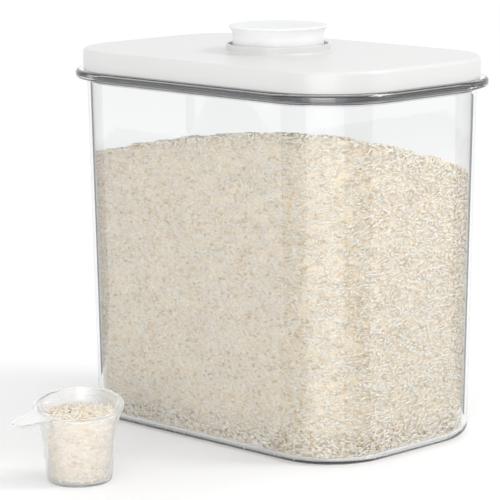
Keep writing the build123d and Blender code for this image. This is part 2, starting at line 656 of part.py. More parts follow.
def make_measuring_cup():
    tilt = radians(CUP_MOUTH_TILT)
    low_x, low_y = cos(radians(CUP_LOW_SIDE)), sin(radians(CUP_LOW_SIDE))
    mouth = Plane(
        (0, 0, CUP_MOUTH_HEIGHT),
        x_dir=(cos(tilt) * low_x, cos(tilt) * low_y, -sin(tilt)),
        z_dir=(sin(tilt) * low_x, sin(tilt) * low_y, cos(tilt)),
    )
    peak = CUP_MOUTH_HEIGHT + CUP_RIM_RADIUS * tan(tilt) + CUP_BAND_HEIGHT
    room = 3 * CUP_RIM_RADIUS
    above = extrude(mouth * Rectangle(room, room), room)

    cup = fillet(bottom_edges(cup_cone(CUP_BASE_RADIUS, 0, peak)), CUP_FOOT_RADIUS) - above
    band_zone = extrude(mouth * Rectangle(room, room), -CUP_BAND_HEIGHT)
    cup += cup_cone(CUP_BASE_RADIUS + CUP_BAND_STEP, 0, peak) & band_zone

    # flat rim with the grip tab: tangent sides run from a wide root to a rounded end
    span = CUP_TAB_REACH - CUP_TAB_RADIUS
    lean = acos((CUP_TAB_ROOT_RADIUS - CUP_TAB_RADIUS) / span)
    root_x, root_y = CUP_TAB_ROOT_RADIUS * cos(lean), CUP_TAB_ROOT_RADIUS * sin(lean)
    end_x, end_y = span + CUP_TAB_RADIUS * cos(lean), CUP_TAB_RADIUS * sin(lean)
    tab = Polygon((root_x, -root_y), (end_x, -end_y), (end_x, end_y), (root_x, root_y), align=None)
    tab += Pos(span, 0) * Circle(CUP_TAB_RADIUS)
    plan = Circle(CUP_RIM_RADIUS) + Rot(0, 0, CUP_TAB_ANGLE) * tab
    corners = plan.vertices()
    roots = [corner for corner in corners if abs(Vector(corner).length - CUP_RIM_RADIUS) < EDGE_TOLERANCE]
    plan = fillet(roots, CUP_TAB_ROOT_FILLET)
    rim = extrude(mouth * plan, -CUP_RIM_THICKNESS)
    long_edges = rim.edges().filter_by(lambda edge: abs(edge.tangent_at(0.5).dot(mouth.z_dir)) < 0.5)
    cup += fillet(long_edges, CUP_RIM_ROUND)
    return Pos(CUP_X, CUP_Y, 0) * (cup - cup_cone(CUP_BASE_RADIUS - CUP_WALL, CUP_FLOOR, peak))


def build_nodes():
    nodes = {
        "container_body": make_container_body(),
        "lid_cover": make_lid_cover(),
        "lid_tray": make_lid_tray(),
        "bottom_plate": make_bottom_plate(),
        "lid_gasket": make_lid_gasket(),
        "button_cap": make_button_cap(),
        "plunger": make_plunger(),
        "pusher_retainer": make_pusher_retainer(),
        "latch_pin": make_latch_pin(),
        "latch_keeper": make_latch_keeper(),
        "return_spring": make_return_spring(),
        "tray_screws": Compound(make_tray_screws()),
        "retainer_screws": Compound(make_retainer_screws()),
        "button_screws": Compound(make_button_screws()),
        "keeper_screws": Compound(make_keeper_screws()),
        "measuring_cup": make_measuring_cup(),
    }
    for name, (turn, reach, pad_length) in PUSHERS.items():
        nodes[name] = make_seal_pusher(turn, reach, pad_length)
    return nodes


os.makedirs("parts", exist_ok=True)
for node_name, node_shape in build_nodes().items():
    export_step(node_shape, f"parts/{node_name}.step")
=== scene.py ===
# A clear rice container with a white press-to-seal lid, filled with rice, and its measuring cup.
# Everything is in metres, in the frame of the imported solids: +Z up, the front is -Y.
from math import cos, pi, radians, sin, tan

import bpy
import numpy as np
from mathutils import Matrix, Vector


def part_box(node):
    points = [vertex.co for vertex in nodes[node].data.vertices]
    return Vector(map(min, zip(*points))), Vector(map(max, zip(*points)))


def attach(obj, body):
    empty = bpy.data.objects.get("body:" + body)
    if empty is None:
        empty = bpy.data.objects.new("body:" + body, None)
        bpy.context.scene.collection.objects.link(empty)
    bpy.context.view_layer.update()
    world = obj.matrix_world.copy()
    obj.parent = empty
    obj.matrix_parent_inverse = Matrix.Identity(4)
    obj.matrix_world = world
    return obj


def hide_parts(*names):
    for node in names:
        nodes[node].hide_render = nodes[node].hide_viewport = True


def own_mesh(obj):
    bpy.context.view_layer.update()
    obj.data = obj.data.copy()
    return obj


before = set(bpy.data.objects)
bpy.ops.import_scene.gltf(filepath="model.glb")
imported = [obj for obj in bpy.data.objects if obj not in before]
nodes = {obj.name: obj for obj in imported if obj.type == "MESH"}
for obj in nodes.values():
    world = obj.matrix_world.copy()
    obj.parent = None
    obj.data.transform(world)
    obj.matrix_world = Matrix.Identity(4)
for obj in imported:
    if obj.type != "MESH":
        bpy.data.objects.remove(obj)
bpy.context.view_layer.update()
MM = 0.001


# Clear box
# One deep moulding with rounded corners, a little draft and a thick flat rim for the lid.
# It is moulded in clear styrene copolymer, and its mould was polished inside and out.

def linear(hex_colour, alpha=1.0):
    """An sRGB hex colour as linear light."""
    parts = [int(hex_colour[i:i + 2], 16) / 255 for i in (1, 3, 5)]
    light = [p / 12.92 if p <= 0.04045 else ((p + 0.055) / 1.055) ** 2.4 for p in parts]
    return (*light, alpha)


def add(tree, kind, inputs=None, **settings):
    """Adds a node with its settings; each input gets a value, or a link from a socket."""
    node = tree.nodes.new(kind)
    for name, value in settings.items():
        setattr(node, name, value)
    for name, value in (inputs or {}).items():
        if isinstance(value, bpy.types.NodeSocket):
            tree.links.new(value, node.inputs[name])
        else:
            node.inputs[name].default_value = value
    return node


def new_material(name):
    """An empty material, and the tree that its nodes go in."""
    material = bpy.data.materials.new(name)
    material.use_nodes = True
    material.node_tree.nodes.clear()
    return material, material.node_tree


def dress(material, *names):
    """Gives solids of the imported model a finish."""
    for name in names:
        for slot in nodes[name].material_slots:
            slot.material = material


WAVE_DEPTH = 0.01 * MM


def clear_moulding(name, colour, ior, gloss, wave_mm, roughness, clearness, bloom):
    """Clear moulded plastic: reflections that waver a little where the melt shrank from the
    mould, a pale bloom where it is hazy, and lamps shine through it onto what is inside."""
    material, tree = new_material(name)
    place = add(tree, "ShaderNodeTexCoord")
    wave = add(tree, "ShaderNodeTexNoise", {
        "Vector": place.outputs["Object"], "Scale": 1 / (wave_mm * MM), "Detail": 1.0})
    bump = add(tree, "ShaderNodeBump", {
        "Height": wave.outputs["Fac"], "Distance": WAVE_DEPTH, "Strength": 1.0})
    plastic = add(tree, "ShaderNodeBsdfPrincipled", {
        "Base Color": linear(colour), "Roughness": roughness, "IOR": ior, "Specular IOR Level": gloss,
        "Sheen Weight": bloom, "Transmission Weight": clearness, "Normal": bump.outputs["Normal"]})
    through = add(tree, "ShaderNodeBsdfTransparent", {"Color": linear("#FCFCFC")})
    path = add(tree, "ShaderNodeLightPath")
    both = add(tree, "ShaderNodeMixShader", {
        0: path.outputs["Is Shadow Ray"], 1: plastic.outputs["BSDF"], 2: through.outputs["BSDF"]})
    add(tree, "ShaderNodeOutputMaterial", {"Surface": both.outputs["Shader"]})
    return material


box_plastic = clear_moulding(
    "styrene copolymer, moulded clear and polished", "#F8F9F9", ior=1.57, gloss=1.0, wave_mm=45,
    roughness=0.0, clearness=1.0, bloom=0.0)
dress(box_plastic, "container_body")


# Rice in the box
# Milled white rice, poured in: it lies flat along the clear walls and heaps up a little
# towards the near side. Grains are real shapes, over a core that fills what they hide.

BOX_LENGTH, BOX_DEPTH, BOX_HEIGHT = 260 * MM, 168 * MM, 234 * MM
BOX_CORNER, BOX_WALL, BOX_FLOOR = 52 * MM, 3 * MM, 3.5 * MM
BOX_DRAFT = tan(radians(1.12))
INNER_FOOT = 5 * MM
CORNER_X, CORNER_Y = BOX_LENGTH / 2 - BOX_CORNER, BOX_DEPTH / 2 - BOX_CORNER
GRAIN_LENGTH, GRAIN_WIDTH = 3.7 * MM, 1.28 * MM
LENGTH_SPREAD, LENGTH_LIMITS = 0.09, (0.75, 1.2)
WIDTH_SPREAD, WIDTH_LIMITS = 0.08, (0.8, 1.2)
GRAIN_FLATNESS, GRAIN_BEND, GRAIN_TILT, LAYER_BIAS = 1.18, 0.05, 0.16, 1.3
GRAIN_SHOULDER, GRAIN_STANDOFF, GRAIN_SIDE = 0.24, 0.62 * GRAIN_WIDTH, 0.55 * GRAIN_WIDTH
AIR_GAP, FLOOR_GAP = 0.35 * MM, 1.2 * MM
VIEW_TURN = radians(45)
HEAP_LEVEL, HEAP_FALL, HEAP_CURVE, HEAP_MIDDLE = 194.3 * MM, 0.18, 0.92, -33.9 * MM
HEAP_EDGE, RIPPLE_HEIGHT, RIPPLE_BEND = 0.5 * MM, 0.5 * MM, 1.3
BROAD_RIPPLE, FINE_RIPPLE = (190, 120), (90, 260)  # radians per metre across and towards the view
WALL_RICE_HEIGHT, WALL_RICE_MIDDLE, TOP_RICE_LEVEL = 212 * MM, 0.1, 0.185
TOP_RICE_GAP, TOP_RICE_EDGE, TOP_RICE_LAYER = 1.2 * MM, 2 * MM, 1.6 * MM
MAP_FILL = 0.8
rng = np.random.default_rng(7)


def heap_height(x, y):
    """Height of the rice's top, in terms of the places across the view and towards it."""
    across = x * cos(VIEW_TURN) + y * sin(VIEW_TURN)
    towards = x * sin(VIEW_TURN) - y * cos(VIEW_TURN)
    broad = np.sin(across * BROAD_RIPPLE[0] + RIPPLE_BEND * np.sin(towards * BROAD_RIPPLE[1]))
    fine = np.sin(towards * FINE_RIPPLE[1] + across * FINE_RIPPLE[0])
    bulge = HEAP_CURVE * (across - HEAP_MIDDLE) ** 2
    return HEAP_LEVEL + HEAP_FALL * towards - bulge + RIPPLE_HEIGHT * (broad + fine)


def inner_radius(z):
    """Radius of the box's inside corners at a height, smaller at the rounded foot."""
    rise = np.clip((z - BOX_FLOOR) / INNER_FOOT, 0, 1)
    foot = INNER_FOOT * (1 - np.sqrt(1 - (1 - rise) ** 2))
    return BOX_CORNER - BOX_WALL - (BOX_HEIGHT - z) * BOX_DRAFT - foot


def wall_places(share, radius):
    """Points on a rounded outline, and their outward directions, from shares of its length."""
    straight = np.array([2 * CORNER_Y, 2 * CORNER_X] * 2)
    arc = 0.5 * pi * np.mean(radius)
    ends = np.cumsum(np.column_stack([straight, np.full(4, arc)]).ravel())
    starts = np.concatenate([[0], ends])
    along = np.asarray(share) * ends[-1]
    part = np.searchsorted(ends, along, side="right").clip(0, 7)
    local = (along - starts[part]) / np.diff(starts)[part]
    side = part // 2
    turn = side * pi / 2 + np.where(part % 2, local * pi / 2, 0)
    out = np.column_stack([np.cos(turn), np.sin(turn)])
    corners = np.array([(1, -1), (1, 1), (-1, 1), (-1, -1)]) * (CORNER_X, CORNER_Y)
    first, last = corners[side], corners[(side + 1) % 4]
    core = np.where((part % 2)[:, None], last, first + (last - first) * local[:, None])
    return core + out * np.reshape(radius, (-1, 1)), out


def grain_template(sides=4):
    """One grain along X, of unit length and width: two tips and two rings between them."""
    points = [(-0.5, 0, 0)]
    for x in (-GRAIN_SHOULDER, GRAIN_SHOULDER):
        for i in range(sides):
            turn = 2 * pi * (i + 0.5) / sides
            points.append((x, 0.5 * cos(turn), 0.5 * sin(turn)))
    points.append((0.5, 0, 0))
    faces = []
    last = len(points) - 1
    for i in range(sides):
        j = (i + 1) % sides
        faces.append((0, 1 + j, 1 + i))
        faces.append((last, last - sides + i, last - sides + j))
        faces.append((1 + i, 1 + j, 1 + sides + j, 1 + sides + i))
    return np.array(points), faces


GRAIN_POINTS, GRAIN_FACES = grain_template()


def make_grains(name, centres, along, outward):
    """A mesh of separate grains, each lying along a direction with a side to the outside.
    Its map gives each grain a square of its own, so its tint can be kept in a picture."""
    count = len(centres)
    length = GRAIN_LENGTH * rng.normal(1, LENGTH_SPREAD, count).clip(*LENGTH_LIMITS)
    width = GRAIN_WIDTH * rng.normal(1, WIDTH_SPREAD, count).clip(*WIDTH_LIMITS)
    along = along / np.linalg.norm(along, axis=1, keepdims=True)
    side = np.cross(outward, along)
    side /= np.linalg.norm(side, axis=1, keepdims=True)
    top = np.cross(along, side)
    shape = GRAIN_POINTS[None] * np.stack([length, width * GRAIN_FLATNESS, width], 1)[:, None]
    bend = GRAIN_BEND * length[:, None] * (0.25 - GRAIN_POINTS[None, :, 0] ** 2)
    shape[:, :, 1] += bend * rng.choice((-1, 1), count)[:, None]
    axes = np.stack([along, side, top], 1)
    points = np.einsum("gpi,gij->gpj", shape, axes) + centres[:, None]
    per_grain = len(GRAIN_POINTS)
    faces = [
        tuple(first + corner for corner in face)
        for first in range(0, count * per_grain, per_grain)
        for face in GRAIN_FACES
    ]
    mesh = bpy.data.meshes.new(name)
    mesh.from_pydata(points.reshape(-1, 3), [], faces)
    mesh.polygons.foreach_set("use_smooth", np.ones(len(faces), bool))
    tint = mesh.attributes.new("grain_tint", "FLOAT", "POINT")
    tint.data.foreach_set("value", np.repeat(rng.random(count), per_grain).astype(np.float32))
    across = int(np.ceil(np.sqrt(count)))
    cell = np.stack([np.arange(count) % across, np.arange(count) // across], 1)
    flat = np.stack([GRAIN_POINTS[:, 0], GRAIN_POINTS[:, 1] + 0.5 * GRAIN_POINTS[:, 2]], 1)
    spot = (cell[:, None] + 0.5 + MAP_FILL * flat[None]) / across
    corners = np.empty(len(mesh.loops), np.int32)
    mesh.loops.foreach_get("vertex_index", corners)
    layer = mesh.uv_layers.new(name="OFBake")
    layer.uv.foreach_set("vector", spot.reshape(-1, 2)[corners].astype(np.float32).ravel())
    piece = bpy.data.objects.new(name, mesh)
    bpy.context.scene.collection.objects.link(piece)
    return piece


def leaning(out, spread, lift):
    """Directions that lie along an upright wall, tilted at random and lifted off it a little."""
    level = np.column_stack([-out[:, 1], out[:, 0], np.zeros(len(out))])
    tilt = rng.normal(0, spread, len(out))
    raised = level * np.cos(tilt)[:, None] + np.array([0, 0, 1]) * np.sin(tilt)[:, None]
    return raised + np.column_stack([out, np.zeros(len(out))]) * rng.normal(0, lift, len(out))[:, None]


def rice_finish():
    """Milled rice: a soft, slightly waxy skin over a pale, cloudy grain. Each grain has its own
    tint, from glassy beige to chalky white, and is browner where its bran was left."""
    material, tree = new_material("white rice, milled")
    tint = add(tree, "ShaderNodeAttribute", attribute_name="grain_tint")
    ramp = add(tree, "ShaderNodeValToRGB", {"Fac": tint.outputs["Fac"]})
    stops = ramp.color_ramp.elements
    stops[0].position, stops[0].color = 0.0, linear("#D2B68E")
    stops[1].position, stops[1].color = 1.0, linear("#FFFDF8")
    for position, colour in ((0.1, "#EBD7B9"), (0.25, "#F9ECD8"), (0.6, "#FDF3E4"), (0.9, "#FEF8EE")):
        stop = stops.new(position)
        stop.color = linear(colour)
    place = add(tree, "ShaderNodeTexCoord")
    cloud = add(tree, "ShaderNodeTexNoise", {
        "Vector": place.outputs["Object"], "Scale": 1 / (1.5 * MM), "Detail": 2.0})
    clouded = add(tree, "ShaderNodeMapRange", {
        "Value": cloud.outputs["Fac"], "From Min": 0.3, "From Max": 0.7, "To Min": 0.05, "To Max": 0.4})
    mixed = add(tree, "ShaderNodeMix", {
        0: clouded.outputs["Result"], 6: ramp.outputs["Color"], 7: linear("#FBF0DE")},
        data_type="RGBA", blend_type="MIX")
    skin = add(tree, "ShaderNodeBsdfPrincipled", {
        "Base Color": mixed.outputs[2], "Roughness": 0.48, "IOR": 1.5,
        "Subsurface Weight": 0.45, "Subsurface Scale": 0.6 * MM, "Subsurface Radius": (1.0, 0.9, 0.8)})
    add(tree, "ShaderNodeOutputMaterial", {"Surface": skin.outputs["BSDF"]})
    return material


rice = rice_finish()


def finish_rice(piece, body):
    """Gives grains their finish, and lets them ride on the body that holds them."""
    piece.data.materials.append(rice)
    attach(piece, body)


def wall_rice(count_per_mm2=0.48, layer_mm=1.9):
    """Grains that lie against the four walls, in three pieces for each wall, low, middle and high, with
    half its corners.
    """
    perimeter = 4 * (CORNER_X + CORNER_Y) + 2 * pi * inner_radius(np.array(WALL_RICE_MIDDLE))
    count = int(count_per_mm2 * perimeter * WALL_RICE_HEIGHT / MM ** 2)
    share = rng.random(count)
    z = BOX_FLOOR + FLOOR_GAP + rng.random(count) * WALL_RICE_HEIGHT
    depth = AIR_GAP + GRAIN_STANDOFF + rng.random(count) ** LAYER_BIAS * layer_mm * MM
    places, out = wall_places(share, inner_radius(z) - depth)
    along = leaning(out, spread=radians(32), lift=0.12)
    reach = 0.5 * GRAIN_LENGTH * np.abs((along[:, :2] * out).sum(1))
    free = depth - AIR_GAP - GRAIN_SIDE
    places -= out * np.maximum(0, reach - free)[:, None]
    kept = z < heap_height(places[:, 0], places[:, 1]) - HEAP_EDGE
    turn = np.arctan2(out[:, 1], out[:, 0])
    wall = np.round(turn / (pi / 2)).astype(int) % 4
    level_of = np.floor(3 * z / WALL_RICE_HEIGHT).clip(0, 2)
    flat_out = np.column_stack([out, np.zeros(count)])
    centres = np.column_stack([places, z])
    for number, name in enumerate(("rice_right", "rice_back", "rice_left", "rice_front")):
        for level, part in enumerate(("low", "middle", "high")):
            these = kept & (wall == number) & (level_of == level)
            grains = make_grains(f"{name}_{part}", centres[these], along[these], flat_out[these])
            finish_rice(grains, "container")


def top_rice(count=12000):
    """Grains that lie on the heap."""
    inner = BOX_CORNER - BOX_WALL - TOP_RICE_GAP - (BOX_HEIGHT - TOP_RICE_LEVEL) * BOX_DRAFT
    x = rng.uniform(-1, 1, 2 * count) * (CORNER_X + inner - TOP_RICE_EDGE)
    y = rng.uniform(-1, 1, 2 * count) * (CORNER_Y + inner - TOP_RICE_EDGE)
    beyond = np.hypot(np.maximum(np.abs(x) - CORNER_X, 0), np.maximum(np.abs(y) - CORNER_Y, 0))
    inside = np.flatnonzero(beyond < inner - TOP_RICE_EDGE)[:count]
    x, y = x[inside], y[inside]
    z = heap_height(x, y) - rng.random(len(x)) * TOP_RICE_LAYER
    turn = rng.uniform(0, 2 * pi, len(x))
    along = np.column_stack([np.cos(turn), np.sin(turn), rng.normal(0, GRAIN_TILT, len(x))])
    upward = np.tile((0.0, 0.0, 1.0), (len(x), 1))
    finish_rice(make_grains("rice_top", np.column_stack([x, y, z]), along, upward), "container")


def filled_core(name, outline_at, low, top_at, levels, rings, step):
    """A closed body: walls from an outline at each height, and a top that closes on the middle."""
    base = outline_at(low)
    points, count = [], len(base)
    for level in range(levels + 1):
        for x, y in base:
            high = top_at(x, y)
            z = low + (high - low) * level / levels
            points.append((*outline_at(z)[len(points) % count], z))
    for ring in range(1, rings):
        for x, y in outline_at(top_at(0, 0)):
            share = 1 - ring / rings
            points.append((x * share, y * share, top_at(x * share, y * share)))
    points.append((0, 0, top_at(0, 0)))
    points.append((0, 0, low))
    faces = []
    for level in range(levels + rings - 1):
        for i in range(count):
            j = (i + 1) % count
            a, b = level * count, (level + 1) * count
            faces.append((a + i, a + j, b + j, b + i))
    last = (levels + rings - 1) * count
    for i in range(count):
        j = (i + 1) % count
        faces.append((last + i, last + j, len(points) - 2))
        faces.append((j, i, len(points) - 1))
    mesh = bpy.data.meshes.new(name)
    mesh.from_pydata([Vector(p) + Vector(step) for p in points], [], faces)
    mesh.polygons.foreach_set("use_smooth", np.ones(len(faces), bool))
    piece = bpy.data.objects.new(name, mesh)
    bpy.context.scene.collection.objects.link(piece)
    return piece


def core_finish():
    """Rice in the shade behind the outer grains: the same beige, with painted shade that makes it darker
    between the grains.
    """
    material, tree = new_material("white rice, packed")
    place = add(tree, "ShaderNodeTexCoord")
    # Painted shade: each grain-sized cell turns darker towards its edge, as in the gaps between packed
    # grains.
    cells = add(tree, "ShaderNodeTexVoronoi", {
        "Vector": place.outputs["Object"], "Scale": 1 / GRAIN_WIDTH}, feature="F1")
    ramp = add(tree, "ShaderNodeValToRGB", {"Fac": cells.outputs["Distance"]})
    ramp.color_ramp.elements[0].color = linear("#F9EEDC")
    ramp.color_ramp.elements[1].color = linear("#EDDCC2")
    skin = add(tree, "ShaderNodeBsdfPrincipled", {
        "Base Color": ramp.outputs["Color"], "Roughness": 0.7, "IOR": 1.5})
    add(tree, "ShaderNodeOutputMaterial", {"Surface": skin.outputs["BSDF"]})
    return material


packed_rice = core_finish()
CORE_INSET, CORE_FOOT, CORE_TOP, CORE_SIDES = 2.1 * MM, 1.0 * MM, 1.8 * MM, 96


def core_outline(z):
    """The core's outline at a height, a little inside the box's wall."""
    radius = inner_radius(np.array(z)) - CORE_INSET
    places, _ = wall_places(np.arange(CORE_SIDES) / CORE_SIDES, np.full(CORE_SIDES, radius))
    return places


box_core = filled_core(
    "rice_core", core_outline, BOX_FLOOR + CORE_FOOT,
    lambda x, y: float(heap_height(x, y)) - CORE_TOP, levels=10, rings=14, step=(0, 0, 0))
box_core.data.materials.append(packed_rice)
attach(box_core, "container")
wall_rice()
top_rice()


# Lid cover
# A white moulded slab that sits on the box's rim, with a raised collar round the button.
# It is glossy styrene plastic, moulded in one piece and screwed to the tray from below.

CLOUD_SIZE, CLOUD_TONE = 60 * MM, 0.975


def opaque_moulding(name, colour, roughness, grain_mm, grain_depth_mm, ior):
    """Filled white plastic from a polished mould: a soft broad gloss, with the faint
    unevenness that such a skin shows in a reflection, and a little cloudiness in its colour."""
    material, tree = new_material(name)
    place = add(tree, "ShaderNodeTexCoord")
    skin = add(tree, "ShaderNodeTexNoise", {
        "Vector": place.outputs["Object"], "Scale": 1 / (grain_mm * MM), "Detail": 3.0})
    cloud = add(tree, "ShaderNodeTexNoise", {
        "Vector": place.outputs["Object"], "Scale": 1 / CLOUD_SIZE, "Detail": 1.0})
    tone = add(tree, "ShaderNodeValToRGB", {"Fac": cloud.outputs["Fac"]})
    base = linear(colour)
    tone.color_ramp.elements[0].color = tuple(CLOUD_TONE * part for part in base[:3]) + (1.0,)
    tone.color_ramp.elements[1].color = base
    bump = add(tree, "ShaderNodeBump", {
        "Height": skin.outputs["Fac"], "Distance": grain_depth_mm * MM, "Strength": 0.6})
    plastic = add(tree, "ShaderNodeBsdfPrincipled", {
        "Base Color": tone.outputs["Color"], "Roughness": roughness, "IOR": ior,
        "Normal": bump.outputs["Normal"]})
    add(tree, "ShaderNodeOutputMaterial", {"Surface": plastic.outputs["BSDF"]})
    return material


lid_plastic = opaque_moulding(
    "ABS, moulded glossy white", "#DDDDDC", roughness=0.28, grain_mm=1.4, grain_depth_mm=0.012, ior=1.54)
dress(lid_plastic, "lid_cover")


# Lid tray and bottom plate
# The lid's inner moulding holds the gasket and the sealing works, and a flat plate under it
# closes the gasket's groove. Both are the cover's plastic from a plainer mould.

tray_plastic = opaque_moulding(
    "ABS, moulded satin white", "#EFEFEE", roughness=0.42, grain_mm=0.9, grain_depth_mm=0.02, ior=1.54)
dress(tray_plastic, "lid_tray", "bottom_plate")


# Gasket
# A soft silicone band with two lips round the lid's edge, pushed out against the box's wall.
# It is cast in one loop and stretched over the tray.

def silicone_finish():
    """Cast silicone: light sinks into it a little, under a dusty skin that blurs any gloss."""
    material, tree = new_material("silicone, cast")
    place = add(tree, "ShaderNodeTexCoord")
    dust = add(tree, "ShaderNodeTexNoise", {
        "Vector": place.outputs["Object"], "Scale": 1 / (3 * MM), "Detail": 4.0})
    tone = add(tree, "ShaderNodeValToRGB", {"Fac": dust.outputs["Fac"]})
    tone.color_ramp.elements[0].color = linear("#77777A")
    tone.color_ramp.elements[1].color = linear("#848487")
    rubber = add(tree, "ShaderNodeBsdfPrincipled", {
        "Base Color": tone.outputs["Color"], "Roughness": 0.6, "IOR": 1.41,
        "Subsurface Weight": 0.4, "Subsurface Scale": 2 * MM})
    add(tree, "ShaderNodeOutputMaterial", {"Surface": rubber.outputs["BSDF"]})
    return material


dress(silicone_finish(), "lid_gasket")


# Sealing works
# The plunger under the button, the four bars it spreads, the ring over them and the latch's
# keeper are plain mouldings in natural acetal, which slides well without grease.

works_plastic = opaque_moulding(
    "acetal, moulded natural", "#E4E4E0", roughness=0.5, grain_mm=0.6, grain_depth_mm=0.02, ior=1.48)
dress(
    works_plastic, "plunger", "pusher_retainer", "latch_keeper", "seal_pusher_right",
    "seal_pusher_back", "seal_pusher_left", "seal_pusher_front")


# Return spring
# An open coil of drawn stainless wire between the drum's floor and the plunger's disc, which
# shortens as the button goes down. Here it is a piece of its own over the coil of the model, riding on the
# lid.

def drawn_steel():
    """Drawn stainless steel: bright, with a gloss that the drawing left uneven."""
    material, tree = new_material("stainless steel, drawn")
    place = add(tree, "ShaderNodeTexCoord")
    patches = add(tree, "ShaderNodeTexNoise", {
        "Vector": place.outputs["Object"], "Scale": 1 / (0.4 * MM), "Detail": 2.0})
    rough = add(tree, "ShaderNodeMapRange", {
        "Value": patches.outputs["Fac"], "To Min": 0.22, "To Max": 0.4})
    metal = add(tree, "ShaderNodeBsdfPrincipled", {
        "Base Color": linear("#C9C8C4"), "Metallic": 1.0, "Roughness": rough.outputs["Result"]})
    add(tree, "ShaderNodeOutputMaterial", {"Surface": metal.outputs["BSDF"]})
    return material


steel = drawn_steel()
UP = Vector((0, 0, 1))
dress(steel, "return_spring")
SPRING_WIRE, SPRING_RADIUS, SPRING_TURNS = 1.1 * MM, 4.9 * MM, 8
spring_low, spring_high = (corner[2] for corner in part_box("return_spring"))


def coil_mesh(steps_per_turn=24, sides=8):
    """Rings of the wire's section along the coil, joined into a tube with closed ends."""
    first = spring_low + SPRING_WIRE / 2
    rise = (spring_high - spring_low - SPRING_WIRE) / (2 * pi * SPRING_TURNS)
    points, faces = [], []
    steps = steps_per_turn * SPRING_TURNS
    for step in range(steps + 1):
        turn = 2 * pi * step / steps_per_turn
        out = Vector((cos(turn), sin(turn), 0))
        heading = Vector((-SPRING_RADIUS * sin(turn), SPRING_RADIUS * cos(turn), rise)).normalized()
        over = heading.cross(out)
        middle = out * SPRING_RADIUS + UP * (first + rise * turn)
        for side in range(sides):
            spin = 2 * pi * side / sides
            points.append(middle + (out * cos(spin) + over * sin(spin)) * SPRING_WIRE / 2)
    for step in range(steps):
        for side in range(sides):
            a, b = step * sides + side, step * sides + (side + 1) % sides
            faces.append((a, a + sides, b + sides, b))
    faces.append(tuple(range(sides)))
    faces.append(tuple(steps * sides + side for side in reversed(range(sides))))
    mesh = bpy.data.meshes.new("spring_coil")
    mesh.from_pydata(points, [], faces)
    mesh.polygons.foreach_set("use_smooth", [True] * len(faces))
    mesh.materials.append(steel)
    return mesh


spring_coil = bpy.data.objects.new("spring_coil", coil_mesh())
bpy.context.scene.collection.objects.link(spring_coil)
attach(spring_coil, "lid")
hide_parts("return_spring")
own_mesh(spring_coil)


# Latch pin and screws
# A bent piece of the same wire that follows the plunger's track, and small cross-head screws
# in bright stainless steel.

dress(steel, "latch_pin", "tray_screws", "retainer_screws", "button_screws", "keeper_screws")


# Push button
# A round milky cap with a flared lip and a dished top, standing out of the collar when it is
# popped up. It is moulded in natural polypropylene and screwed to the plunger.

TOP_SHADE_DRIFT = 0.15


def milky_moulding(name, side_colour, shaded_top_colour, scatter, roughness):
    """Natural polypropylene: light goes in and comes out close by, so edges glow, under a
    smooth skin with a broad gloss. Faces that look up are painted a little greyer, as painted shade on the
    top."""
    material, tree = new_material(name)
    place = add(tree, "ShaderNodeTexCoord")
    facing = add(tree, "ShaderNodeSeparateXYZ", {"Vector": place.outputs["Normal"]})
    cloud = add(tree, "ShaderNodeTexNoise", {
        "Vector": place.outputs["Object"], "Scale": 1 / (12 * MM), "Detail": 2.0})
    # Painted shade: the colour turns greyer as the surface faces up, and noise blurs where it turns.
    drift = add(tree, "ShaderNodeMath", {0: cloud.outputs["Fac"], 1: TOP_SHADE_DRIFT}, operation="MULTIPLY")
    top_shade = add(tree, "ShaderNodeMath", {0: facing.outputs["Z"], 1: drift.outputs[0]}, operation="ADD")
    tone = add(tree, "ShaderNodeValToRGB", {"Fac": top_shade.outputs[0]})
    upright, level = tone.color_ramp.elements
    upright.position, upright.color = 0.3, linear(side_colour)
    level.position, level.color = 1.0, linear(shaded_top_colour)
    plastic = add(tree, "ShaderNodeBsdfPrincipled", {
        "Base Color": tone.outputs["Color"], "Roughness": roughness, "IOR": 1.49,
        "Subsurface Weight": scatter, "Subsurface Scale": 4 * MM,
        "Subsurface Radius": (1.0, 1.0, 1.0)})
    add(tree, "ShaderNodeOutputMaterial", {"Surface": plastic.outputs["BSDF"]})
    return material


button_plastic = milky_moulding(
    "polypropylene, moulded natural", "#F6F7F7", "#E3E4E4", scatter=0.35, roughness=0.3)
dress(button_plastic, "button_cap")


# Measuring cup
# A small scoop-shaped cup with a slanted flat rim and a grip tab, standing by itself in front.
# It is a thin moulding in clarified polypropylene, so it is a little hazy.

cup_plastic = clear_moulding(
    "polypropylene, moulded clarified", "#FFFFFF", ior=1.49, gloss=0.4, wave_mm=20,
    roughness=0.17, clearness=0.86, bloom=0.8)
dress(cup_plastic, "measuring_cup")


# Rice in the cup
# A measure of the same rice, poured in and heaped a little in the middle. Grains lie along
# the cup's wall and on top, over a core like the one in the box.

CUP_X, CUP_Y = 17.4 * MM, -197.4 * MM
CUP_BASE_INSIDE, CUP_SLOPE, CUP_FLOOR = 18.4 * MM, 6.6 / 49, 2 * MM
CUP_LEVEL, CUP_TOP_GAP, CUP_CORE_TOP, CUP_CORE_SIDES = 45 * MM, 1.8 * MM, 1.5 * MM, 48
CUP_LAYER, CUP_WALL_GAP, CUP_TOP_LAYER, CUP_GRAIN_TILT = 2.6 * MM, 0.15 * MM, 1.4 * MM, 0.2
CUP_HEAP, CUP_HEAP_FALL, CUP_HEAP_EDGE = 1.2 * MM, 3 * MM, 3 * MM


def cup_radius(z):
    """Radius of the cup's inside at a height."""
    return CUP_BASE_INSIDE + CUP_SLOPE * z


def cup_core_outline(z):
    """The cup's core at a height, a little inside its wall."""
    turn = 2 * pi * np.arange(CUP_CORE_SIDES) / CUP_CORE_SIDES
    return (cup_radius(z) - CORE_INSET) * np.column_stack([np.cos(turn), np.sin(turn)])


